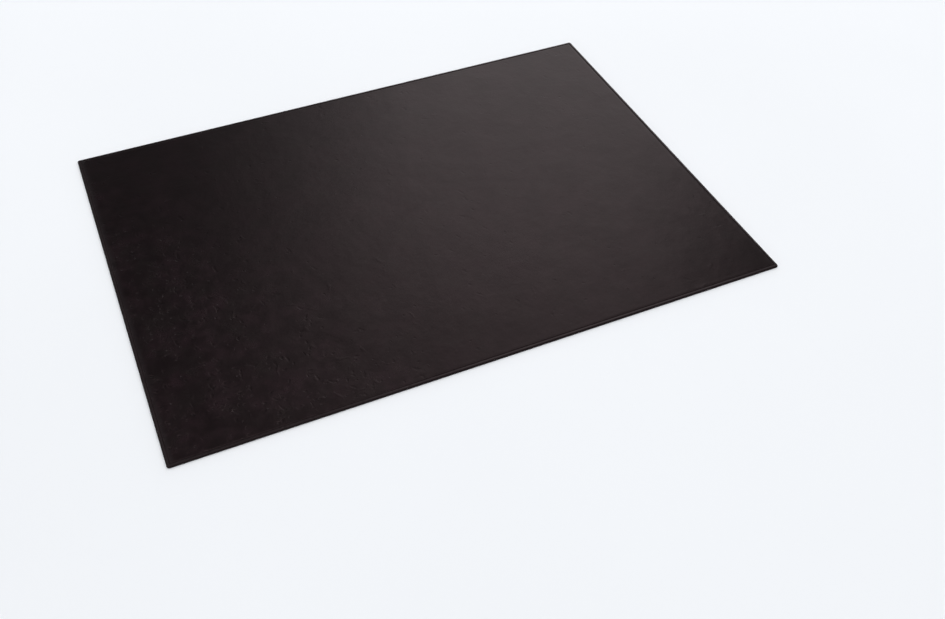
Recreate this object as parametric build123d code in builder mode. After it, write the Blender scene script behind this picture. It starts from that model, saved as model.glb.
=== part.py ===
"""A turned-edge leather desk pad: one hide over felt and board, creased round its border, on a non-slip backing.

Millimetres, +X along the long side, +Y towards the back of the desk, +Z up.
The origin is the centre of the underside, on the desk.
"""

import os

from build123d import *

os.makedirs("parts", exist_ok=True)

# Outline of the pad
pad_length = 650.0
pad_width = 450.0
corner_radius = 2.4

# The layers, from the desk up
backing_thickness = 0.5
turn_in_thickness = 0.6
board_thickness = 0.8
fleece_thickness = 0.3
leather_thickness = 1.0

# The hide where it goes over the edge
wall_thickness = 0.8
top_edge_radius = 1.4
fold_radius = 0.7

# The hide under the board: turned in, pared thin at its rim, mitred at the corners
turn_in_width = 14.0
pared_width = 6.0
pared_edge_thickness = 0.3
mitre_gap = 0.3

# The border: a bead along the edge, a round-nosed crease beside it, then a soft rise to the flat field
bead_crest_inset = 1.5
crease_inset = 3.4
crease_depth = 0.55
crease_nose_radius = 0.5
dish_depth = 0.2
field_inset = 7.0

# What lies inside and below
core_clearance = 0.1
card_clearance = 0.5
backing_inset = 6.0
backing_corner_radius = 3.0

# Heights that follow from the layers
turn_in_bottom = backing_thickness
board_bottom = turn_in_bottom + turn_in_thickness
board_top = board_bottom + board_thickness
fleece_top = board_top + fleece_thickness
pad_height = fleece_top + leather_thickness

# Outlines that follow from the hide
hollow_length = pad_length - 2 * wall_thickness
hollow_width = pad_width - 2 * wall_thickness
hollow_corner_radius = corner_radius - wall_thickness
core_length = hollow_length - 2 * core_clearance
core_width = hollow_width - 2 * core_clearance
core_corner_radius = hollow_corner_radius - core_clearance
window_length = pad_length - 2 * turn_in_width
window_width = pad_width - 2 * turn_in_width

# The border's section, drawn on the front edge
front_y = -pad_width / 2
bead_crest = (front_y + bead_crest_inset, pad_height)
dish_floor = (front_y + crease_inset, pad_height - dish_depth)
field_edge = (front_y + field_inset, pad_height)
crease_centre = (front_y + crease_inset, pad_height - crease_depth + crease_nose_radius)


with BuildPart() as leather_cover:
    # The outside of the wrapped pad, down to the underside of the turn-ins
    with BuildSketch(Plane.XY.offset(turn_in_bottom)):
        RectangleRounded(pad_length, pad_width, corner_radius)
    extrude(amount=pad_height - turn_in_bottom)
    fillet(leather_cover.faces().sort_by(Axis.Z)[-1].edges(), top_edge_radius)
    fillet(leather_cover.faces().sort_by(Axis.Z)[0].edges(), fold_radius)

    # The space that the board and the felt fill
    with BuildSketch(Plane.XY.offset(board_bottom)):
        RectangleRounded(hollow_length, hollow_width, hollow_corner_radius)
    extrude(amount=fleece_top - board_bottom, mode=Mode.SUBTRACT)

    # The window between the turn-ins
    with BuildSketch(Plane.XY.offset(turn_in_bottom)):
        Rectangle(window_length, window_width)
    extrude(amount=turn_in_thickness, mode=Mode.SUBTRACT)

    # The pared rim of the turn-ins, which thins from below towards the window
    with BuildSketch(Plane.XY.offset(turn_in_bottom)):
        Rectangle(window_length + 2 * pared_width, window_width + 2 * pared_width)
    with BuildSketch(Plane.XY.offset(board_bottom - pared_edge_thickness)):
        Rectangle(window_length, window_width)
    loft(ruled=True, mode=Mode.SUBTRACT)

    # The mitres: a fine slit from each corner of the window to just short of the pad's own corner
    slit_length = turn_in_width * 2**0.5 - corner_radius
    slit_inset = (turn_in_width + corner_radius) / 2
    with BuildSketch(Plane.XY.offset(turn_in_bottom)):
        for x_side, y_side in ((-1, -1), (1, -1), (1, 1), (-1, 1)):
            with Locations((x_side * (pad_length / 2 - slit_inset), y_side * (pad_width / 2 - slit_inset))):
                Rectangle(slit_length, mitre_gap, rotation=45 * x_side * y_side)
    extrude(amount=turn_in_thickness, mode=Mode.SUBTRACT)

    # The crease and the dished leather beside it, carried round the border and mitred at the corners
    with BuildSketch(Plane.YZ) as crease_section:
        with BuildLine():
            TangentArc(bead_crest, dish_floor, tangent=(1, 0))
            TangentArc(field_edge, dish_floor, tangent=(-1, 0))
            Polyline(
                bead_crest,
                (bead_crest[0], pad_height + crease_depth),
                (field_edge[0], pad_height + crease_depth),
                field_edge,
            )
        make_face()
        with Locations(crease_centre):
            Circle(crease_nose_radius)
    with BuildLine() as border_path:
        path_x = pad_length / 2 - crease_inset
        path_y = pad_width / 2 - crease_inset
        Polyline(
            (0, -path_y, pad_height),
            (path_x, -path_y, pad_height),
            (path_x, path_y, pad_height),
            (-path_x, path_y, pad_height),
            (-path_x, -path_y, pad_height),
            (0, -path_y, pad_height),
        )
    sweep(crease_section.sketch, path=border_path.line, transition=Transition.RIGHT, mode=Mode.SUBTRACT)
leather_cover.part.label = "leather_cover"
export_step(leather_cover.part, "parts/leather_cover.step")


with BuildPart() as padding_fleece:
    with BuildSketch(Plane.XY.offset(board_top)):
        RectangleRounded(core_length, core_width, core_corner_radius)
    extrude(amount=fleece_thickness)
padding_fleece.part.label = "padding_fleece"
export_step(padding_fleece.part, "parts/padding_fleece.step")


with BuildPart() as stiffener_board:
    with BuildSketch(Plane.XY.offset(board_bottom)):
        RectangleRounded(core_length, core_width, core_corner_radius)
    extrude(amount=board_thickness)
stiffener_board.part.label = "stiffener_board"
export_step(stiffener_board.part, "parts/stiffener_board.step")


with BuildPart() as infill_card:
    with BuildSketch(Plane.XY.offset(turn_in_bottom)):
        Rectangle(window_length - 2 * card_clearance, window_width - 2 * card_clearance)
    extrude(amount=turn_in_thickness)
infill_card.part.label = "infill_card"
export_step(infill_card.part, "parts/infill_card.step")


with BuildPart() as non_slip_backing:
    with BuildSketch(Plane.XY):
        RectangleRounded(
            pad_length - 2 * backing_inset,
            pad_width - 2 * backing_inset,
            backing_corner_radius,
        )
    extrude(amount=backing_thickness)
non_slip_backing.part.label = "non_slip_backing"
export_step(non_slip_backing.part, "parts/non_slip_backing.step")
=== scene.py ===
"""Leather desk pad: the hide, its felt, boards and non-slip backing, and the studio that it is shown in."""

import math

import bmesh
import bpy
from bpy.props import FloatProperty, FloatVectorProperty, PointerProperty
from bpy.types import Operator, Panel, PropertyGroup
from mathutils import Matrix, Vector, noise


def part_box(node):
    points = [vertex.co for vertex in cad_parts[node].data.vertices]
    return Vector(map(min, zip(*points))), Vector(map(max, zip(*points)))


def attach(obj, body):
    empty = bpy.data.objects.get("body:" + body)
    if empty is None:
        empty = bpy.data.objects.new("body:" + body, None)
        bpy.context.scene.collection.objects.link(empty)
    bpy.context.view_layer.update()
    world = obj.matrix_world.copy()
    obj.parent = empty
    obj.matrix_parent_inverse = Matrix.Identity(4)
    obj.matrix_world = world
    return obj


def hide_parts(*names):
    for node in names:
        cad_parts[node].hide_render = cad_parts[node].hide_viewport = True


bl_info = {
    "name": "Leather Desk Pad",
    "version": (1, 0, 0),
    "blender": (4, 5, 0),
    "location": "3D View > Sidebar > Desk Pad",
    "description": "Builds a turned-edge leather desk pad with a creased border, and its studio",
    "category": "Object",
}

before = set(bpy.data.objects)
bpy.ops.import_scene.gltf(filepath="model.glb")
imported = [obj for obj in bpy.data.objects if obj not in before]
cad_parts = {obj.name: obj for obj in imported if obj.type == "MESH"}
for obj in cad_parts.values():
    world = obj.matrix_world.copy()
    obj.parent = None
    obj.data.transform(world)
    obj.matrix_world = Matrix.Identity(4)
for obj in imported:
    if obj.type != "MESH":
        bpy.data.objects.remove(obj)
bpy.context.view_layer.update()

BODY = "root"
MM = 0.001
PHOTO_WIDTH_PX = 945
SENSOR_MM = 36.0

# Each lamp's name, azimuth and elevation in degrees, distance, width and height in metres, and radiance
LAMPS = (
    ("Window", 35.0, 34.0, 2.6, 1.25, 1.6, 0.92),
    ("Window glow", 32.0, 33.0, 2.8, 2.0, 3.2, 0.45),
    ("Left fill", -42.0, 22.0, 2.6, 1.6, 1.2, 0.3),
)


# Settings


def length(name, description, default):
    """A size in metres that the sidebar shows."""
    return FloatProperty(
        name=name,
        description=description,
        default=default,
        min=0.0,
        unit="LENGTH",
        precision=5,
    )


def share(name, description, default):
    """A number from 0 to 1."""
    return FloatProperty(name=name, description=description, default=default, min=0.0, max=1.0)


def angle(name, description, degrees):
    """An angle, given here in degrees."""
    return FloatProperty(name=name, description=description, default=math.radians(degrees), unit="ROTATION")


def point(name, description, default):
    """A place in metres."""
    return FloatVectorProperty(name=name, description=description, default=default, size=3, unit="LENGTH")


def colour(name, description, default):
    """A linear colour."""
    return FloatVectorProperty(name=name, description=description, default=default, size=3, subtype="COLOR")


class CoverSettings(PropertyGroup):
    """The hide's shape and finish."""

    corner_radius: length("Corner radius", "Radius of the pad's corners, seen from above", 0.0024)
    top_edge_radius: length("Top edge radius", "How round the hide is where it goes over the edge", 0.0014)
    fold_radius: length("Fold radius", "How round the hide is where it turns under the board", 0.0007)
    wall_thickness: length("Wall thickness", "Thickness of the hide at the pad's edge", 0.0008)
    bead_crest_inset: length("Bead crest", "From the edge to the top of the bead", 0.0015)
    crease_inset: length("Crease inset", "From the edge to the line pressed round the border", 0.0034)
    crease_depth: length("Crease depth", "How deep the line is pressed", 0.00055)
    crease_nose_radius: length("Crease nose", "Radius of the creasing tool's nose", 0.0005)
    crease_lip: length("Crease lip", "How softly the line's sides run into the leather", 0.0001)
    dish_depth: length("Dish depth", "How far the leather beside the line is drawn down", 0.0002)
    field_inset: length("Field inset", "From the edge to where the leather is level again", 0.007)
    turn_in_width: length("Turn-in width", "How far the hide reaches under the board", 0.014)
    pared_width: length("Pared width", "Width of the thinned rim of the turn-ins", 0.006)
    pared_edge: length("Pared edge", "Thickness of the hide at the turn-ins' rim", 0.0003)
    mitre_gap: length("Mitre gap", "Gap between two turn-ins at a corner", 0.0003)
    pleat_depth: length("Pleat depth", "Depth of the small tucks under each corner", 0.00012)
    wave_height: length("Wave height", "Height of the slow waves in the hide", 0.00024)
    wave_length: length("Wave length", "Length of the slow waves in the hide", 0.055)
    grain_size: length("Grain size", "Size of the small cells of the grain", 0.0009)
    hide_colour: colour("Hide", "Colour of the dyed hide", (0.0080, 0.0062, 0.0063))
    warm_colour: colour("Warm dye", "Colour where the hide shows through warmer", (0.0126, 0.0072, 0.0090))
    rubbed_colour: colour("Rubbed", "Colour where the border is rubbed by hands", (0.016, 0.0134, 0.0142))
    # The deep dye colour is also the painted shade of the walls, the crease and the sunk marks
    deep_dye_and_shade_colour: colour("Deep dye", "Colour where the dye has gathered", (0.0028, 0.0016, 0.0020))
    roughness: share("Roughness", "Roughness of the finished grain side", 0.29)
    matte_roughness: share("Matte roughness", "Roughness where the finish is thin, as in the crease", 0.85)
    shine: share("Shine", "How strongly the finish reflects: 0.5 is a plain varnish", 0.3)
    shine_colour: colour("Shine colour", "Tint of what the finish reflects", (1.0, 0.72, 0.75))


class LayerSettings(PropertyGroup):
    """The sheets inside and under the hide."""

    sheet_edge_radius: length("Sheet edge", "How round the cut edges of the felt and backing are", 0.0001)
    core_corner_radius: length("Core corner", "Corner radius of the felt", 0.0015)
    backing_corner_radius: length("Backing corner", "Corner radius of the backing", 0.003)
    felt_raggedness: length("Felt raggedness", "How far the felt's cut edge strays", 0.0003)
    backing_raggedness: length("Backing raggedness", "How far the backing's cut edge strays", 0.0001)
    felt_colour: colour("Felt", "Colour of the felt", (0.36, 0.35, 0.32))
    board_colour: colour("Board", "Colour of the stiffener board", (0.24, 0.23, 0.2))
    board_fleck_colour: colour("Board fleck", "Colour of the flecks in the board", (0.06, 0.055, 0.05))
    board_flecks: share("Board flecks", "How much of the board has flecks", 0.2)
    card_colour: colour("Card", "Colour of the infill card", (0.19, 0.165, 0.135))
    card_fleck_colour: colour("Card fleck", "Colour of the flecks in the card", (0.4, 0.36, 0.3))
    card_flecks: share("Card flecks", "How much of the card has flecks", 0.12)
    backing_colour: colour("Backing", "Colour of the non-slip backing", (0.018, 0.0155, 0.016))


class StageSettings(PropertyGroup):
    """The camera, the studio's walls and the floor."""

    camera_place: point("Camera place", "Where the camera stands", (-0.3089, -0.7256, 0.7259))
    camera_aim: point("Camera aim", "Where on the desk the lens points", (-0.0567, -0.1319, 0.0))
    camera_roll: angle("Roll", "Turn about the line of sight", 0.519)
    focal_px: FloatProperty(name="Focal length", description="In pixels of the photograph", default=963.4)
    shift_px: FloatProperty(name="Sideways crop", description="In pixels of the photograph", default=63.5)
    floor_colour: colour("Floor", "Colour of the desk top", (0.885, 0.905, 0.935))
    floor_size: length("Floor size", "Side of the floor", 30.0)
    horizon_colour: colour("Horizon", "Colour of the studio at the desk's far edge", (0.85, 0.87, 0.9))
    walls_colour: colour("Walls", "Light that the studio's walls give back", (0.35, 0.352, 0.36))
    unlit_colour: colour("Unlit wall", "Light from the dark wall behind the desk", (0.02, 0.02, 0.021))
    dome_light: FloatProperty(
        name="Dome light",
        description="Brightness of the lit cloth overhead",
        default=1.82,
        min=0.0,
    )
    unlit_azimuth: angle("Unlit wall at", "Middle of the dark wall, clockwise from the desk's back", 20)


# Meshes


def spaced(start, end, count):
    """Evenly spaced values from start to end, both included."""
    return [start + (end - start) * i / (count - 1) for i in range(count)]


def grid_lines(side, fine, coarse, growth):
    """Places along a side, close together at both ends and even between."""
    near, step = [0.0], fine
    while step < coarse:
        near.append(near[-1] + step)
        step *= growth
    middle = side - 2 * near[-1]
    count = max(1, round(middle / coarse))
    even = [near[-1] + middle * i / count for i in range(1, count)]
    return near + even + [side - g for g in reversed(near)]


class Loops:
    """Closed loops round a rectangle, one outside the other, that all have the same columns."""

    # How far from a corner the columns spread out to meet the mitre
    CORNER_ZONE = 0.03

    def __init__(self, half_x, half_y, corner_radius, field_inset, fine, coarse, growth):
        self.half = (half_x, half_y)
        self.corner_radius = corner_radius
        self.field_inset = field_inset
        self.lines = [grid_lines(2 * (h - field_inset), fine, coarse, growth) for h in self.half]

    def side_points(self, side, inset, split=0.0):
        """The points of one side at that inset. split draws the two ends apart from their mitres."""
        radius = max(self.corner_radius - inset, 0.0)
        cut = radius * (2 - math.pi / 2) / 2
        extra = self.field_inset - inset - cut
        lines = self.lines[side % 2]
        full = lines[-1]
        points = []
        for g in lines:
            near = min(g, full - g)
            zone = min(1.0, near / self.CORNER_ZONE)
            along = near + extra * zone + split * (1 - zone)
            if along < radius * math.pi / 4:
                turn = math.pi / 4 + along / radius
                u, v = radius * (1 - math.cos(turn)), radius * (1 - math.sin(turn))
            else:
                u, v = radius * (1 - math.pi / 4) + along, 0.0
            if g > full / 2:
                u = 2 * (self.half[side % 2] - inset) - u
            points.append(self.place(side, inset, u, v))
        return points

    def place(self, side, inset, u, v):
        """u along that side from its first corner and v inwards, as a place on the pad."""
        x, y = self.half[0] - inset, self.half[1] - inset
        return ((u - x, v - y), (x - v, u - y), (x - u, y - v), (v - x, y - u))[side]


class Shell:
    """A mesh of rings round a rectangle, with a grid over the first ring and another over the last."""

    SHARP_ANGLE = math.radians(50)

    def __init__(self, loops):
        self.loops = loops
        self.verts = []
        self.faces = []
        self.rings = []

    def add(self, x, y, z):
        """Adds a point, and says which number it has."""
        self.verts.append((x, y, z))
        return len(self.verts) - 1

    def ring(self, inset, z, split=0.0):
        """Adds a ring, joins it to the one before, and says which number it has.

        A split ring is open at its four mitres.
        """
        sides = []
        for side in range(4):
            points = self.loops.side_points(side, inset, split)
            sides.append([self.add(x, y, z) for x, y in (points if split else points[:-1])])
        if not split:
            for side in range(4):
                sides[side].append(sides[(side + 1) % 4][0])
        if self.rings:
            for a, b in zip(self.rings[-1], sides):
                for i in range(len(a) - 1):
                    self.faces.append((a[i], a[i + 1], b[i + 1], b[i]))
        self.rings.append(sides)
        return len(self.rings) - 1

    def mitre_walls(self, lower, upper):
        """The turn-ins' cut edges: lower and upper are ring numbers from the mitre's end to the rim."""
        for side in range(4):
            for end in (0, -1):
                for k in range(len(lower) - 1):
                    corners = (lower[k], lower[k + 1], upper[k + 1], upper[k])
                    self.faces.append(tuple(self.rings[ring][side][end] for ring in corners))

    def cap(self, ring, z):
        """A grid inside that ring."""
        front, right, back, left = self.rings[ring]
        xs, ys = self.loops.lines
        x0, y0 = (self.loops.field_inset - h for h in self.loops.half)
        rows = [front]
        for j in range(1, len(ys) - 1):
            inside = [self.add(x0 + xs[i], y0 + ys[j], z) for i in range(1, len(xs) - 1)]
            rows.append([left[len(ys) - 1 - j], *inside, right[j]])
        rows.append(list(reversed(back)))
        for a, b in zip(rows, rows[1:]):
            for i in range(len(a) - 1):
                self.faces.append((a[i], a[i + 1], b[i + 1], b[i]))

    def object(self, name, material, move):
        """The finished object, its faces turned outwards. move says where each point goes."""
        mesh = bpy.data.meshes.new(name)
        mesh.from_pydata([move(Vector(v)) for v in self.verts], [], self.faces)
        bm = bmesh.new()
        bm.from_mesh(mesh)
        bmesh.ops.recalc_face_normals(bm, faces=bm.faces)
        bm.to_mesh(mesh)
        bm.free()
        mesh.polygons.foreach_set("use_smooth", [True] * len(mesh.polygons))
        mesh.set_sharp_from_angle(angle=self.SHARP_ANGLE)
        mesh.materials.append(material)
        obj = bpy.data.objects.new(name, mesh)
        bpy.context.scene.collection.objects.link(obj)
        return obj


def arc_drop(run, drop, at):
    """How far an arc that starts level, and drops so far over its run, has dropped at a place along it."""
    radius = (run * run + drop * drop) / (2 * drop)
    return radius - math.sqrt(radius * radius - at * at)


def soft_min(a, b, width):
    """The lower of two heights, rounded where they meet."""
    h = max(width - abs(a - b), 0.0) / width
    return min(a, b) - h * h * width / 4


def border_height(s, inset):
    """The height of the cover's top above its level field, at a distance in from the edge."""
    if inset < s.top_edge_radius:
        r = s.top_edge_radius
        return math.sqrt(max(r * r - (r - inset) ** 2, 0.0)) - r
    dish = 0.0
    if s.bead_crest_inset < inset < s.crease_inset:
        dish = arc_drop(s.crease_inset - s.bead_crest_inset, s.dish_depth, inset - s.bead_crest_inset)
    elif s.crease_inset <= inset < s.field_inset:
        dish = arc_drop(s.field_inset - s.crease_inset, s.dish_depth, s.field_inset - inset)
    off, nose = abs(inset - s.crease_inset), s.crease_nose_radius
    if off >= nose:
        return -dish
    groove = nose - s.crease_depth - math.sqrt(nose * nose - off * off)
    return soft_min(-dish, groove, s.crease_lip)


# How many rings make each part of the hide's section
RINGS = {
    "rise": 9,
    "groove": 12,
    "bead": 6,
    "edge": 9,
    "wall": 4,
    "fold": 7,
    "turn_in": 5,
    "pared": 5,
}

# How far from the crease's middle the groove's last ring and the bead's first lie, in nose radii
GROOVE_REACH = 1.05
BEAD_START = 1.4


def border_insets(s, grid_inset):
    """The insets of the cover's top rings, from the field's grid out to the start of the edge's round."""
    to_field, nose = s.field_inset - s.crease_inset, s.crease_nose_radius
    rise = [s.crease_inset + to_field * t * t for t in spaced(1.0, 0.3, RINGS["rise"])]
    groove = [s.crease_inset + nose * t for t in spaced(GROOVE_REACH, -GROOVE_REACH, RINGS["groove"])]
    bead = spaced(s.crease_inset - BEAD_START * nose, s.top_edge_radius, RINGS["bead"])
    return [grid_inset, (grid_inset + s.field_inset) / 2, *rise, *groove, *bead]


# The slow waves: how fast the small ones fade, how much finer each is than the last, and how many
WAVE_FRACTAL = (1.0, 2.0, 3)
TUCKS_PER_TURN = 12


def make_cover(s, material):
    """The hide: its field, border, walls, turn-ins and flesh side, as one closed skin."""
    low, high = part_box("leather_cover")
    board_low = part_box("stiffener_board")[0].z
    felt_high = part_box("padding_fleece")[1].z
    half_x, half_y = high.x, high.y
    top, under = high.z, low.z
    grid_inset = 0.012
    loops = Loops(half_x, half_y, s.corner_radius, grid_inset, fine=0.0002, coarse=0.004, growth=1.25)
    shell = Shell(loops)

    # The grain side: the field, the border, the rounded edge, the wall and the fold
    for inset in border_insets(s, grid_inset):
        shell.ring(inset, top + border_height(s, inset))
    shell.cap(0, top)
    r = s.top_edge_radius
    for turn in spaced(0.0, math.pi / 2, RINGS["edge"])[1:]:
        shell.ring(r * (1 - math.sin(turn)), top - r * (1 - math.cos(turn)))
    f = s.fold_radius
    for z in spaced(top - r, under + f, RINGS["wall"])[1:]:
        shell.ring(0.0, z)
    for turn in spaced(0.0, math.pi / 2, RINGS["fold"])[1:]:
        shell.ring(f * (1 - math.cos(turn)), under + f * (1 - math.sin(turn)))

    # The turn-ins, out to their pared rim and back
    mitre_end = 0.85 * s.corner_radius
    split = s.mitre_gap / math.sqrt(2)
    pared_from = s.turn_in_width - s.pared_width
    flap = spaced(mitre_end, pared_from, RINGS["turn_in"])
    flap += spaced(pared_from, s.turn_in_width, RINGS["pared"])[1:]

    def under_height(inset):
        """The height of the turn-ins' underside, which rises where they are pared."""
        rise = (board_low - under - s.pared_edge) * (inset - pared_from) / s.pared_width
        return under + max(rise, 0.0)

    lower = [shell.ring(d, under_height(d), split * min(1, k)) for k, d in enumerate(flap)]
    upper = [shell.ring(d, board_low, split * min(1, k)) for k, d in reversed(list(enumerate(flap)))]
    shell.mitre_walls(lower, upper[::-1])

    # The flesh side, round the felt and the board
    wall = s.wall_thickness
    shell.ring(wall, board_low)
    for inset in (wall, grid_inset / 2, grid_inset):
        shell.ring(inset, felt_high)
    shell.cap(len(shell.rings) - 1, felt_high)

    grain_side_low = felt_high + 0.2 * (top - felt_high)
    wall_top = top - r

    def settle(p):
        """Slow waves over the top, and small tucks under each corner."""
        if p.z > grain_side_low:
            edge = min(half_x - abs(p.x), half_y - abs(p.y))
            fade = min(1.0, max(edge, 0.0) / s.field_inset)
            rise = noise.fractal(p / s.wave_length, *WAVE_FRACTAL)
            p.z -= s.wave_height * fade * fade * max(0.5 - 0.5 * rise, 0.0)
        corner = Vector((half_x - s.corner_radius - abs(p.x), half_y - s.corner_radius - abs(p.y)))
        if max(corner) < 0 and p.z < wall_top:
            turn = math.atan2(corner.y, corner.x)
            low_share = min(1.0, (wall_top - p.z) / (wall_top - under))
            tuck = s.pleat_depth * low_share * (0.5 - 0.5 * math.cos(TUCKS_PER_TURN * turn))
            outward = (-corner.x * math.copysign(1, p.x), -corner.y * math.copysign(1, p.y))
            out = Vector(outward).normalized()
            p.x -= out.x * tuck
            p.y -= out.y * tuck
        return p

    return shell.object("leather_hide", material, settle)


# How many times in a metre a cut edge strays, and how many rings round its rim
STRAYS_PER_METRE = 300
RIM_RINGS = 4


def make_sheet(name, node, material, corner_radius, edge_radius, raggedness):
    """A flat sheet of felt or fabric with cut edges, in the place of a node."""
    low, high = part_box(node)
    r = edge_radius
    loops = Loops(high.x, high.y, corner_radius, field_inset=0.006, fine=0.0004, coarse=0.008, growth=1.4)
    shell = Shell(loops)
    shell.ring(loops.field_inset, high.z)
    shell.cap(0, high.z)
    for turn in spaced(0.0, math.pi / 2, RIM_RINGS):
        shell.ring(r * (1 - math.sin(turn)), high.z - r * (1 - math.cos(turn)))
    for turn in spaced(0.0, math.pi / 2, RIM_RINGS):
        shell.ring(r * (1 - math.cos(turn)), low.z + r * (1 - math.sin(turn)))
    shell.ring(loops.field_inset, low.z)
    shell.cap(len(shell.rings) - 1, low.z)

    def ragged(p):
        """A cut edge is never quite straight."""
        edge = min(high.x - abs(p.x), high.y - abs(p.y))
        if edge < r:
            pull = raggedness * (0.5 + 0.5 * noise.noise(p * STRAYS_PER_METRE))
            p.x -= math.copysign(pull, p.x) * (high.x - abs(p.x) < r)
            p.y -= math.copysign(pull, p.y) * (high.y - abs(p.y) < r)
        return p

    return shell.object(name, material, ragged)


# Node groups


def new_group(name, inputs, outputs):
    """A shader node group with float or vector sockets: (tree, its input node, its output node)."""
    tree = bpy.data.node_groups.new(name, "ShaderNodeTree")
    for label, value in inputs.items():
        kind = "NodeSocketVector" if value is None else "NodeSocketFloat"
        socket = tree.interface.new_socket(name=label, in_out="INPUT", socket_type=kind)
        if value is not None:
            socket.default_value = value
    for label in outputs:
        tree.interface.new_socket(name=label, in_out="OUTPUT", socket_type="NodeSocketFloat")
    return tree, tree.nodes.new("NodeGroupInput"), tree.nodes.new("NodeGroupOutput")


class Nodes:
    """Short ways to add and join nodes in one tree."""

    def __init__(self, tree):
        self.tree = tree

    def node(self, kind, **settings):
        """A new node of that kind."""
        made = self.tree.nodes.new(kind)
        for name, value in settings.items():
            setattr(made, name, value)
        return made

    def put(self, socket, value):
        """Joins an output to a socket, or sets its value."""
        if isinstance(value, bpy.types.NodeSocket):
            self.tree.links.new(value, socket)
        elif value is not None:
            socket.default_value = value

    def fill(self, made, **values):
        """Puts each value in the node's socket of that name, and gives the node back."""
        for name, value in values.items():
            self.put(made.inputs[name.replace("_", " ")], value)
        return made

    def math(self, operation, a, b=None, clamp=False):
        """The result of a Math node."""
        made = self.node("ShaderNodeMath", operation=operation, use_clamp=clamp)
        self.put(made.inputs[0], a)
        self.put(made.inputs[1], b)
        return made.outputs[0]

    def plus(self, a, b, clamp=False):
        """a and b added up."""
        return self.math("ADD", a, b, clamp)

    def minus(self, a, b, clamp=False):
        """a less b."""
        return self.math("SUBTRACT", a, b, clamp)

    def times(self, a, b):
        """a times b."""
        return self.math("MULTIPLY", a, b)

    def over(self, a, b):
        """a divided by b."""
        return self.math("DIVIDE", a, b)

    def larger(self, a, b):
        """The larger of a and b."""
        return self.math("MAXIMUM", a, b)

    def vector(self, operation, a, b=None, scale=None):
        """The result of a Vector Math node."""
        made = self.node("ShaderNodeVectorMath", operation=operation)
        self.put(made.inputs[0], a)
        self.put(made.inputs[1], b)
        self.put(made.inputs[3], scale)
        return made.outputs["Value" if operation == "DOT_PRODUCT" else "Vector"]

    def spun(self, vector, turn):
        """The vector turned about the vertical."""
        made = self.node("ShaderNodeVectorRotate", rotation_type="Z_AXIS")
        return self.fill(made, Vector=vector, Angle=turn).outputs[0]

    def xyz(self, vector):
        """The three parts of a vector."""
        made = self.node("ShaderNodeSeparateXYZ")
        self.put(made.inputs[0], vector)
        return made.outputs[:3]

    def rgb(self, shade):
        """The three parts of a colour."""
        made = self.node("ShaderNodeSeparateColor")
        self.put(made.inputs[0], shade)
        return made.outputs[:3]

    def noise(self, vector, scale, detail=2.0, roughness=0.5):
        """A Noise Texture node."""
        made = self.node("ShaderNodeTexNoise")
        return self.fill(made, Vector=vector, Scale=scale, Detail=detail, Roughness=roughness)

    def voronoi(self, vector, scale, feature="F1", randomness=1.0):
        """A Voronoi Texture node."""
        made = self.node("ShaderNodeTexVoronoi", feature=feature)
        return self.fill(made, Vector=vector, Scale=scale, Randomness=randomness)

    def ramp(self, value, low, high, to_low=0.0, to_high=1.0):
        """A smooth step from one value to another."""
        made = self.node("ShaderNodeMapRange", interpolation_type="SMOOTHSTEP")
        self.fill(made, Value=value, From_Min=low, From_Max=high, To_Min=to_low, To_Max=to_high)
        return made.outputs["Result"]

    def mix(self, share_of_b, a, b):
        """A colour between a and b."""
        made = self.node("ShaderNodeMix", data_type="RGBA")
        for socket, value in (("Factor_Float", share_of_b), ("A_Color", a), ("B_Color", b)):
            self.put(next(i for i in made.inputs if i.identifier == socket), value)
        return next(o for o in made.outputs if o.identifier == "Result_Color")

    def group(self, tree, **values):
        """A node that holds a node group."""
        return self.fill(self.node("ShaderNodeGroup", node_tree=tree), **values)

    def warped(self, vector, scale, reach):
        """The vector pushed about by noise, by about so much."""
        push = self.vector("SUBTRACT", self.noise(vector, scale).outputs["Color"], (0.5, 0.5, 0.5))
        return self.vector("ADD", vector, self.vector("SCALE", push, scale=2 * reach))


def grain_group():
    """The hide's fine grain: small cells with shallow furrows between them. Sizes are in millimetres."""
    tree, given, out = new_group("Hide Grain", {"Place": None, "Cell": 0.9}, ["Height", "Furrow"])
    n = Nodes(tree)
    place = n.warped(given.outputs["Place"], 0.7, 0.35)
    per_mm = n.over(1.0, given.outputs["Cell"])
    fine = n.voronoi(place, per_mm, "DISTANCE_TO_EDGE").outputs["Distance"]
    coarse = n.voronoi(place, n.times(per_mm, 0.43), "DISTANCE_TO_EDGE").outputs["Distance"]
    cells = n.ramp(fine, 0.0, 0.22)
    folds = n.ramp(coarse, 0.0, 0.12)
    pores = n.noise(given.outputs["Place"], n.times(per_mm, 2.6), 1.0).outputs["Fac"]
    height = n.plus(n.times(cells, 0.55), n.times(folds, 0.3))
    n.put(out.inputs["Height"], n.plus(height, n.times(pores, 0.3)))
    n.put(out.inputs["Furrow"], n.minus(1.0, n.times(cells, folds)))
    return tree


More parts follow.
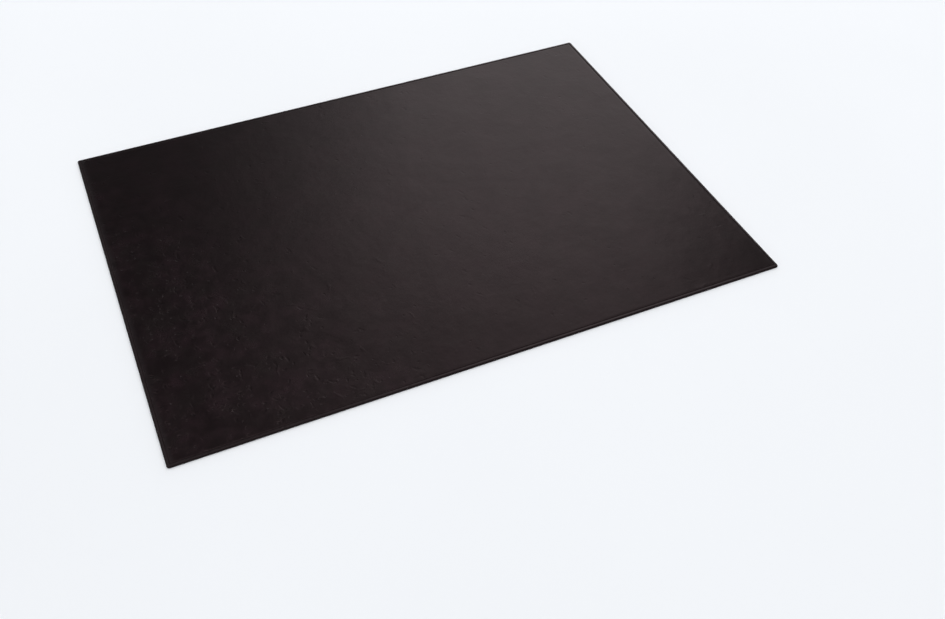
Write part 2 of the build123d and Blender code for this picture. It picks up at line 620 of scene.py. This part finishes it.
def dent_group():
    """Scattered short curved dents, at most one to a cell. Sizes are in millimetres.

    Share is how many cells have one, Lean is the way they lie and Spread is how far they turn from it.
    """
    sizes = {
        "Place": None,
        "Spacing": 14.0,
        "Long": 3.0,
        "Wide": 0.7,
        "Share": 0.5,
        "Lean": 1.1,
        "Spread": 1.2,
    }
    tree, given, out = new_group("Scattered Dents", sizes, ["Depth"])
    n = Nodes(tree)
    at = given.outputs["Place"]
    scatter = {"scale": n.over(1.0, given.outputs["Spacing"]), "randomness": 0.8}
    cells = n.voronoi(at, **scatter)
    cell_edge = n.voronoi(at, feature="DISTANCE_TO_EDGE", **scatter).outputs["Distance"]
    first, second, third = n.rgb(cells.outputs["Color"])

    # Each dent has its own turn, length and bend
    turn = n.plus(given.outputs["Lean"], n.times(n.minus(second, 0.5), given.outputs["Spread"]))
    from_centre = n.vector("SUBTRACT", at, cells.outputs["Position"])
    x, y, _ = n.xyz(n.spun(from_centre, turn))
    along = n.over(x, n.times(given.outputs["Long"], n.plus(third, 0.4)))
    bend = n.times(n.times(along, along), n.minus(third, 0.4))
    across = n.over(n.minus(y, bend), given.outputs["Wide"])
    reach = n.plus(n.times(along, along), n.times(across, across))
    bowl = n.ramp(reach, 0.0, 1.0, 1.0, 0.0)

    # A dent fades out before it meets the next cell
    chosen = n.times(n.math("LESS_THAN", first, given.outputs["Share"]), n.ramp(cell_edge, 0.0, 0.12))
    n.put(out.inputs["Depth"], n.times(n.times(bowl, bowl), chosen))
    return tree


def growth_group():
    """Marks that the hide grew with: wrinkles, tucks, pits, faint veins, low knolls and soft ridges.

    Cover is how many there are. Mark is where the leather is sunk.
    """
    tree, given, out = new_group("Growth Marks", {"Place": None, "Cover": 0.5}, ["Height", "Mark"])
    n = Nodes(tree)
    at, cover = given.outputs["Place"], given.outputs["Cover"]
    some, few = n.times(cover, 0.5), n.times(cover, 0.3)
    dents = effect("Scattered Dents")

    # Each kind of mark reads the pattern at another place, so that they don't fall together
    curled = n.warped(n.warped(at, 0.09, 2.0), 0.5, 1.0)
    aside = n.vector("ADD", curled, (377.0, 191.0, 0.0))
    closer = n.vector("SCALE", aside, scale=1.13)
    beside = n.vector("ADD", aside, (51.0, 29.0, 0.0))
    wandering = n.vector("ADD", n.warped(curled, 0.045, 6.0), (143.0, 67.0, 0.0))
    wrinkles = n.group(dents, Place=curled, Spacing=16.0, Long=5.8, Wide=2.2, Share=cover)
    tucks = n.group(dents, Place=aside, Spacing=10.0, Long=3.4, Wide=1.9, Share=some, Spread=2.6)
    pits = n.group(dents, Place=closer, Spacing=9.0, Long=2.0, Wide=1.7, Share=few, Spread=6.0)
    knolls = n.group(dents, Place=beside, Spacing=9.0, Long=3.0, Wide=2.2, Share=few, Spread=6.0)
    ridges = n.group(dents, Place=wandering, Spacing=21.0, Long=9.0, Wide=2.4, Share=cover, Spread=3.0)
    sunk = n.larger(n.times(wrinkles.outputs["Depth"], 0.8), n.times(tucks.outputs["Depth"], 0.9))
    sunk = n.larger(sunk, pits.outputs["Depth"])
    raised = n.plus(n.times(knolls.outputs["Depth"], 0.5), n.times(ridges.outputs["Depth"], 0.6))

    # A vein runs where a slow pattern passes its middle value, and is broken off here and there
    drift = n.vector("ADD", n.warped(at, 0.05, 5.0), (0.0, 83.0, 0.0))
    slow = n.noise(drift, 0.07, 1.0).outputs["Fac"]
    vein = n.ramp(n.math("ABSOLUTE", n.minus(slow, 0.5)), 0.0, 0.08, 1.0, 0.0)
    broken = n.ramp(n.noise(at, 0.045, 1.0).outputs["Fac"], 0.5, 0.62)
    vein = n.times(n.times(vein, broken), n.times(cover, 0.35))

    mark = n.larger(sunk, vein)
    n.put(out.inputs["Height"], n.minus(raised, mark))
    n.put(out.inputs["Mark"], mark)
    return tree


def cloud_group():
    """Slow uneven clouds, as in dye or pulp. Size is in millimetres."""
    tree, given, out = new_group("Clouds", {"Place": None, "Size": 40.0}, ["Value"])
    n = Nodes(tree)
    per_mm = n.over(1.0, given.outputs["Size"])
    slow = n.noise(n.warped(given.outputs["Place"], 0.02, 8.0), per_mm, 3.0, 0.55).outputs["Fac"]
    n.put(out.inputs["Value"], n.ramp(slow, 0.32, 0.68))
    return tree


def fibre_group():
    """Fibres that lie in all directions, as in felt or paper. Long and Thin are in millimetres."""
    tree, given, out = new_group("Fibres", {"Place": None, "Long": 3.0, "Thin": 0.12}, ["Value"])
    n = Nodes(tree)
    place = n.warped(given.outputs["Place"], 0.4, 0.6)
    found = None
    for turn in (0.0, 1.1, 2.2):
        drawn = n.node("ShaderNodeCombineXYZ")
        for socket, part, size in zip(drawn.inputs, n.xyz(n.spun(place, turn)), ("Long", "Thin", "Thin")):
            n.put(socket, n.over(part, given.outputs[size]))
        strand = n.ramp(n.noise(drawn.outputs[0], 1.0, 1.0).outputs["Fac"], 0.5, 0.72)
        found = strand if found is None else n.larger(found, strand)
    n.put(out.inputs["Value"], found)
    return tree


def inset_group():
    """How far a point is in from the pad's edge, and from its ends and its long sides, in millimetres."""
    sizes = {"Place": None, "Half Length": 325.0, "Half Width": 225.0}
    tree, given, out = new_group("Border Distance", sizes, ["Inset", "From End", "From Side"])
    n = Nodes(tree)
    x, y, _ = n.xyz(given.outputs["Place"])
    from_end = n.minus(given.outputs["Half Length"], n.math("ABSOLUTE", x))
    from_side = n.minus(given.outputs["Half Width"], n.math("ABSOLUTE", y))
    n.put(out.inputs["Inset"], n.math("MINIMUM", from_end, from_side))
    n.put(out.inputs["From End"], from_end)
    n.put(out.inputs["From Side"], from_side)
    return tree


GROUP_MAKERS = {
    "Hide Grain": grain_group,
    "Scattered Dents": dent_group,
    "Growth Marks": growth_group,
    "Clouds": cloud_group,
    "Fibres": fibre_group,
    "Border Distance": inset_group,
}


def effect(name):
    """A node group, built the first time that a material asks for it."""
    return bpy.data.node_groups.get(name) or GROUP_MAKERS[name]()


# Materials


def new_material(name):
    """(material, its Nodes, its Principled shader, the place on the object in millimetres)."""
    material = bpy.data.materials.new(name)
    material.use_nodes = True
    n = Nodes(material.node_tree)
    shader = material.node_tree.nodes["Principled BSDF"]
    at = n.node("ShaderNodeTexCoord").outputs["Object"]
    return material, n, shader, n.vector("SCALE", at, scale=1 / MM)


def cloudy(n, place, size):
    """The value of clouds of that size in millimetres."""
    return n.group(effect("Clouds"), Place=place, Size=size).outputs["Value"]


def fibrous(n, place, long, thin):
    """The value of fibres of that length and width in millimetres."""
    return n.group(effect("Fibres"), Place=place, Long=long, Thin=thin).outputs["Value"]


def bump(n, height, depth_mm):
    """A normal from a height of 0 to 1 and its depth in millimetres."""
    made = n.node("ShaderNodeBump")
    made.inputs["Strength"].default_value = 1.0
    made.inputs["Distance"].default_value = depth_mm * MM
    n.put(made.inputs["Height"], height)
    return made.outputs["Normal"]


def rgba(colour_value, times=1.0):
    """A colour for a socket, made so many times as bright."""
    return (*(c * times for c in colour_value), 1.0)


# Where the hide's finish, its painted shade and its rubbed border change, in millimetres in from the edge
# or away from the crease
WALL_FADE = (0.6, 1.5)
CREASE_FADE = (0.3, 0.9)
RUBBED_END_FADE = (2.0, 10.0)
RUBBED_SIDE_FADE = (2.0, 5.0)

# The belly of the hide lies towards the front left corner: how its edge slants, where it fades out, and
# how many of its marks the rest of the hide has
BELLY_SLANT = (1.3, 0.8)
BELLY_FADE = (-500.0, -130.0)
MARKS_ELSEWHERE = 0.06


def leather_material(s):
    """Dark dyed full-grain leather: satin, marked on its belly, matte on its walls and in its crease, with
    shade painted darker there and in the marks.
    """
    material, n, shader, place = new_material("Espresso leather")
    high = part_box("leather_cover")[1]
    grain = n.group(effect("Hide Grain"), Place=place, Cell=s.grain_size / MM)
    clouds = cloudy(n, place, 38.0)
    patches = cloudy(n, place, 13.0)
    border = effect("Border Distance")
    border = n.group(border, Place=place, Half_Length=high.x / MM, Half_Width=high.y / MM)

    # Growth marks lie thick on the belly and thin elsewhere, in loose flocks
    x, y, _ = n.xyz(place)
    belly = n.plus(n.times(x, BELLY_SLANT[0]), n.times(y, BELLY_SLANT[1]))
    belly = n.ramp(belly, *BELLY_FADE, 1.0, MARKS_ELSEWHERE)
    cover = n.times(belly, n.ramp(n.noise(place, 0.014, 2.0).outputs["Fac"], 0.36, 0.52, 0.25, 1.0))
    cover = n.times(cover, n.ramp(n.noise(place, 0.033, 1.0).outputs["Fac"], 0.4, 0.56, 0.2, 1.0))
    growth = n.group(effect("Growth Marks"), Place=place, Cover=cover)

    # The finish is thin on the walls, in the crease and a little in the marks
    off_crease = n.math("ABSOLUTE", n.minus(border.outputs["Inset"], s.crease_inset / MM))
    creased = n.ramp(off_crease, *CREASE_FADE, 1.0, 0.0)
    turned = n.ramp(border.outputs["Inset"], *WALL_FADE, 1.0, 0.0)
    matte = n.larger(n.larger(turned, creased), n.times(growth.outputs["Mark"], 0.08))

    # Dye: clouded, patchier on the belly, thinner round the marks, and darker in the grain's furrows as
    # painted shade
    uneven = n.times(n.minus(patches, 0.5), n.ramp(belly, 0.0, 0.7, 0.22, 0.75))
    dye = n.plus(n.plus(n.times(clouds, 0.3), 0.4), uneven)
    dye = n.plus(dye, n.times(cover, 0.25))
    # Painted shade: the grain's furrows are drawn darker
    dye = n.minus(dye, n.times(grain.outputs["Furrow"], 0.15), clamp=True)
    warmth = cloudy(n, n.vector("ADD", place, (0.0, 610.0, 0.0)), 30.0)
    warmth = n.times(warmth, n.ramp(belly, 0.0, 1.0, 0.55, 1.0))
    dyed = n.mix(warmth, rgba(s.hide_colour), rgba(s.warm_colour))
    dyed = n.mix(dye, rgba(s.deep_dye_and_shade_colour), dyed)

    # Hands rub the border, more so at the two ends. Shade is painted dark on the walls, in the crease and
    # in the sunk marks
    by_end = n.ramp(border.outputs["From End"], *RUBBED_END_FADE, 0.9, 0.0)
    by_side = n.ramp(border.outputs["From Side"], *RUBBED_SIDE_FADE, 0.9, 0.0)
    rubbed = n.times(n.larger(by_end, by_side), n.ramp(clouds, 0.0, 1.0, 0.6, 1.0))
    dyed = n.mix(n.times(rubbed, n.minus(1.0, matte)), dyed, rgba(s.rubbed_colour))
    # Painted shade: the deep colour darkens the sunk marks, the crease and the walls
    painted_shade = n.larger(n.times(growth.outputs["Mark"], 0.56), n.times(creased, 0.5))
    painted_shade = n.larger(turned, painted_shade)
    n.put(shader.inputs["Base Color"], n.mix(painted_shade, dyed, rgba(s.deep_dye_and_shade_colour, 0.4)))

    # The clouds take 0.01 off the roughness on average, which is put back first
    sheen = n.plus(n.times(clouds, 0.02), n.times(uneven, 0.05))
    rough = n.minus(s.roughness + 0.01, sheen)
    n.put(shader.inputs["Roughness"], n.ramp(matte, 0.0, 1.0, rough, s.matte_roughness))
    shader.inputs["Specular IOR Level"].default_value = s.shine
    shader.inputs["Specular Tint"].default_value = rgba(s.shine_colour)

    # Relief: slow lumps, the growth marks and the fine grain
    lumps = n.noise(n.warped(place, 0.05, 4.0), 0.085, 2.0, 0.6).outputs["Fac"]
    swells = n.times(lumps, n.ramp(belly, 0.1, 1.0, 1.5, 2.2))
    relief = n.times(growth.outputs["Height"], n.ramp(belly, 0.0, 1.0, 0.7, 1.6))
    relief = n.plus(n.times(grain.outputs["Height"], 0.1), relief)
    n.put(shader.inputs["Normal"], bump(n, n.plus(relief, swells), depth_mm=0.11))
    return material


def felt_material(s):
    """Pale pressed felt."""
    material, n, shader, place = new_material("Pressed felt")
    fibres = fibrous(n, place, long=4.0, thin=0.12)
    tone = n.plus(n.times(fibres, 0.6), n.times(cloudy(n, place, 9.0), 0.4))
    n.put(shader.inputs["Base Color"], n.mix(tone, rgba(s.felt_colour, 0.6), rgba(s.felt_colour, 1.2)))
    n.put(shader.inputs["Roughness"], n.ramp(fibres, 0.0, 1.0, 0.97, 0.88))
    shader.inputs["Sheen Weight"].default_value = 0.25
    n.put(shader.inputs["Normal"], bump(n, tone, depth_mm=0.12))
    return material


def pulp_material(name, pulp_colour, fleck_colour, flecks):
    """Solid board of mixed pulp: fibres, clouds, and a few flecks of another colour."""
    material, n, shader, place = new_material(name)
    fibres = fibrous(n, place, long=2.2, thin=0.09)
    dots = n.voronoi(n.warped(place, 0.9, 0.5), 0.6)
    near = n.ramp(dots.outputs["Distance"], 0.08, 0.2, 1.0, 0.0)
    fleck = n.times(near, n.math("LESS_THAN", n.rgb(dots.outputs["Color"])[0], flecks))
    tone = n.plus(n.times(fibres, 0.45), n.times(cloudy(n, place, 14.0), 0.55))
    pulp = n.mix(tone, rgba(pulp_colour, 0.75), rgba(pulp_colour, 1.25))
    n.put(shader.inputs["Base Color"], n.mix(fleck, pulp, rgba(fleck_colour)))
    n.put(shader.inputs["Roughness"], n.ramp(fibres, 0.0, 1.0, 0.92, 0.82))
    n.put(shader.inputs["Normal"], bump(n, tone, depth_mm=0.05))
    return material


def backing_material(s):
    """Short-napped non-slip fabric, brushed a little lighter and darker in patches."""
    material, n, shader, place = new_material("Non-slip backing")
    nap = n.noise(place, 3.2, 3.0, 0.7).outputs["Fac"]
    tone = n.plus(n.times(nap, 0.45), n.times(fibrous(n, place, long=0.9, thin=0.1), 0.3))
    tone = n.plus(tone, n.times(cloudy(n, place, 26.0), 0.35), clamp=True)
    dark, light = rgba(s.backing_colour, 0.45), rgba(s.backing_colour, 1.7)
    n.put(shader.inputs["Base Color"], n.mix(tone, dark, light))
    n.put(shader.inputs["Roughness"], n.ramp(tone, 0.0, 1.0, 0.98, 0.85))
    shader.inputs["Sheen Weight"].default_value = 0.2
    n.put(shader.inputs["Normal"], bump(n, tone, depth_mm=0.12))
    return material


def floor_material(s):
    """A plain pale desk top with the faintest unevenness."""
    material, n, shader, place = new_material("Pale desk top")
    tone = cloudy(n, place, 900.0)
    dark, light = rgba(s.floor_colour, 0.985), rgba(s.floor_colour, 1.01)
    n.put(shader.inputs["Base Color"], n.mix(tone, dark, light))
    shader.inputs["Roughness"].default_value = 0.85
    shader.inputs["Specular IOR Level"].default_value = 0.1
    return material


# Stage


def add_floor(s):
    """The desk top, as a flat square round the pad."""
    half = s.floor_size / 2
    mesh = bpy.data.meshes.new("desk_top")
    corners = [(-half, -half, 0), (half, -half, 0), (half, half, 0), (-half, half, 0)]
    mesh.from_pydata(corners, [], [(0, 1, 2, 3)])
    mesh.materials.append(floor_material(s))
    floor = bpy.data.objects.new("desk_top", mesh)
    bpy.context.scene.collection.objects.link(floor)
    return floor


def add_lamp(name, azimuth, elevation, distance, width, height, radiance):
    """A softbox that faces the pad. An azimuth of 0 is the back of the desk and 90 is its right."""
    a, e = math.radians(azimuth), math.radians(elevation)
    towards = Vector((math.sin(a) * math.cos(e), math.cos(a) * math.cos(e), math.sin(e)))
    data = bpy.data.lights.new(name, "AREA")
    data.shape = "RECTANGLE"
    data.size, data.size_y = width, height
    data.energy = radiance * math.pi * width * height
    lamp = bpy.data.objects.new(name, data)
    lamp.location = towards * distance
    lamp.rotation_mode = "QUATERNION"
    lamp.rotation_quaternion = towards.to_track_quat("Z", "Y")
    bpy.context.scene.collection.objects.link(lamp)


# The heights where the horizon ends and the lit dome begins: 0 is level with the desk and 1 overhead
HORIZON_FADE = (0.26, 0.31)
DOME_FADE = (0.45, 0.8)

# Where the dark wall begins: 0 is a quarter turn from its middle and 1 is its middle
UNLIT_FADE = (0.1, 0.45)


def make_world(s):
    """A lit cloth dome, a pale horizon, and a dark wall behind the desk that the leather mirrors."""
    world = bpy.data.worlds.new("Studio")
    world.use_nodes = True
    bpy.context.scene.world = world
    n = Nodes(world.node_tree)
    sky = world.node_tree.nodes["Background"]
    towards = n.node("ShaderNodeTexCoord").outputs["Generated"]
    up = n.xyz(towards)[2]
    unlit_way = (math.sin(s.unlit_azimuth), math.cos(s.unlit_azimuth), 0.0)
    behind = n.vector("DOT_PRODUCT", towards, unlit_way)
    dome = rgba((1.0, 1.0, 1.0), s.dome_light)
    cloth = n.mix(n.ramp(up, *DOME_FADE), rgba(s.walls_colour), dome)
    room = n.mix(n.ramp(behind, *UNLIT_FADE), cloth, rgba(s.unlit_colour))
    low = n.ramp(up, *HORIZON_FADE, 1.0, 0.0)
    n.put(sky.inputs["Color"], n.mix(low, room, rgba(s.horizon_colour)))
    sky.inputs["Strength"].default_value = 1.0


def make_camera(s):
    """The camera that took the photograph, worked out from the pad's corners."""
    data = bpy.data.cameras.new("Camera")
    data.sensor_width = SENSOR_MM
    data.lens = SENSOR_MM * s.focal_px / PHOTO_WIDTH_PX
    data.shift_x = s.shift_px / PHOTO_WIDTH_PX
    camera = bpy.data.objects.new("Camera", data)
    place, aim = Vector(s.camera_place), Vector(s.camera_aim)
    look = (aim - place).to_track_quat("-Z", "Y").to_matrix().to_4x4()
    camera.matrix_world = Matrix.Translation(place) @ look @ Matrix.Rotation(s.camera_roll, 4, "Z")
    bpy.context.scene.collection.objects.link(camera)
    bpy.context.scene.camera = camera


# Operators


class DESKPAD_OT_stage(Operator):
    """Adds the floor, the lamps, the studio and the camera"""

    bl_idname = "deskpad.stage"
    bl_label = "Stage"

    def execute(self, context):
        s = context.scene.deskpad_stage
        floor = add_floor(s)
        for lamp in LAMPS:
            add_lamp(*lamp)
        make_world(s)
        make_camera(s)
        context.scene.view_settings.view_transform = "Standard"
        return {"FINISHED"}


class DESKPAD_OT_cover(Operator):
    """Adds the leather hide"""

    bl_idname = "deskpad.cover"
    bl_label = "Leather cover"

    def execute(self, context):
        s = context.scene.deskpad_cover
        hide = make_cover(s, leather_material(s))
        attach(hide, BODY)
        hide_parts("leather_cover")
        return {"FINISHED"}


class DESKPAD_OT_felt(Operator):
    """Adds the felt under the hide"""

    bl_idname = "deskpad.felt"
    bl_label = "Felt padding"

    def execute(self, context):
        s = context.scene.deskpad_layers
        felt = make_sheet(
            "felt_padding",
            "padding_fleece",
            felt_material(s),
            s.core_corner_radius,
            s.sheet_edge_radius,
            s.felt_raggedness,
        )
        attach(felt, BODY)
        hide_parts("padding_fleece")
        return {"FINISHED"}


class DESKPAD_OT_boards(Operator):
    """Finishes the stiffener board and the infill card"""

    bl_idname = "deskpad.boards"
    bl_label = "Board and card"

    def execute(self, context):
        s = context.scene.deskpad_layers
        greyboard = pulp_material("Greyboard", s.board_colour, s.board_fleck_colour, s.board_flecks)
        kraft = pulp_material("Kraft card", s.card_colour, s.card_fleck_colour, s.card_flecks)
        for node, material in (("stiffener_board", greyboard), ("infill_card", kraft)):
            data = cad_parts[node].data
            data.materials.clear()
            data.materials.append(material)
        return {"FINISHED"}


class DESKPAD_OT_backing(Operator):
    """Adds the non-slip backing"""

    bl_idname = "deskpad.backing"
    bl_label = "Non-slip backing"

    def execute(self, context):
        s = context.scene.deskpad_layers
        backing = make_sheet(
            "napped_backing",
            "non_slip_backing",
            backing_material(s),
            s.backing_corner_radius,
            s.sheet_edge_radius,
            s.backing_raggedness,
        )
        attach(backing, BODY)
        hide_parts("non_slip_backing")
        return {"FINISHED"}


class DESKPAD_PT_sidebar(Panel):
    """Lists the pad's pieces and their sizes and colours"""

    bl_idname = "DESKPAD_PT_sidebar"
    bl_label = "Leather Desk Pad"
    bl_space_type = "VIEW_3D"
    bl_region_type = "UI"
    bl_category = "Desk Pad"

    def draw(self, context):
        layout = self.layout
        for operator in OPERATORS:
            layout.operator(operator.bl_idname)
        for name in SETTINGS:
            box = layout.box()
            settings = getattr(context.scene, name)
            for prop in settings.__annotations__:
                box.prop(settings, prop)


OPERATORS = (
    DESKPAD_OT_stage,
    DESKPAD_OT_felt,
    DESKPAD_OT_boards,
    DESKPAD_OT_backing,
    DESKPAD_OT_cover,
)
SETTINGS = {
    "deskpad_cover": CoverSettings,
    "deskpad_layers": LayerSettings,
    "deskpad_stage": StageSettings,
}


def register():
    for made in (*SETTINGS.values(), *OPERATORS, DESKPAD_PT_sidebar):
        bpy.utils.register_class(made)
    for name, group in SETTINGS.items():
        setattr(bpy.types.Scene, name, PointerProperty(type=group))


def unregister():
    for name in SETTINGS:
        delattr(bpy.types.Scene, name)
    for made in reversed((*SETTINGS.values(), *OPERATORS, DESKPAD_PT_sidebar)):
        bpy.utils.unregister_class(made)


def main():
    register()
    bpy.ops.deskpad.stage()
    bpy.ops.deskpad.felt()
    bpy.ops.deskpad.boards()
    bpy.ops.deskpad.backing()
    bpy.ops.deskpad.cover()


if __name__ == "__main__":
    main()
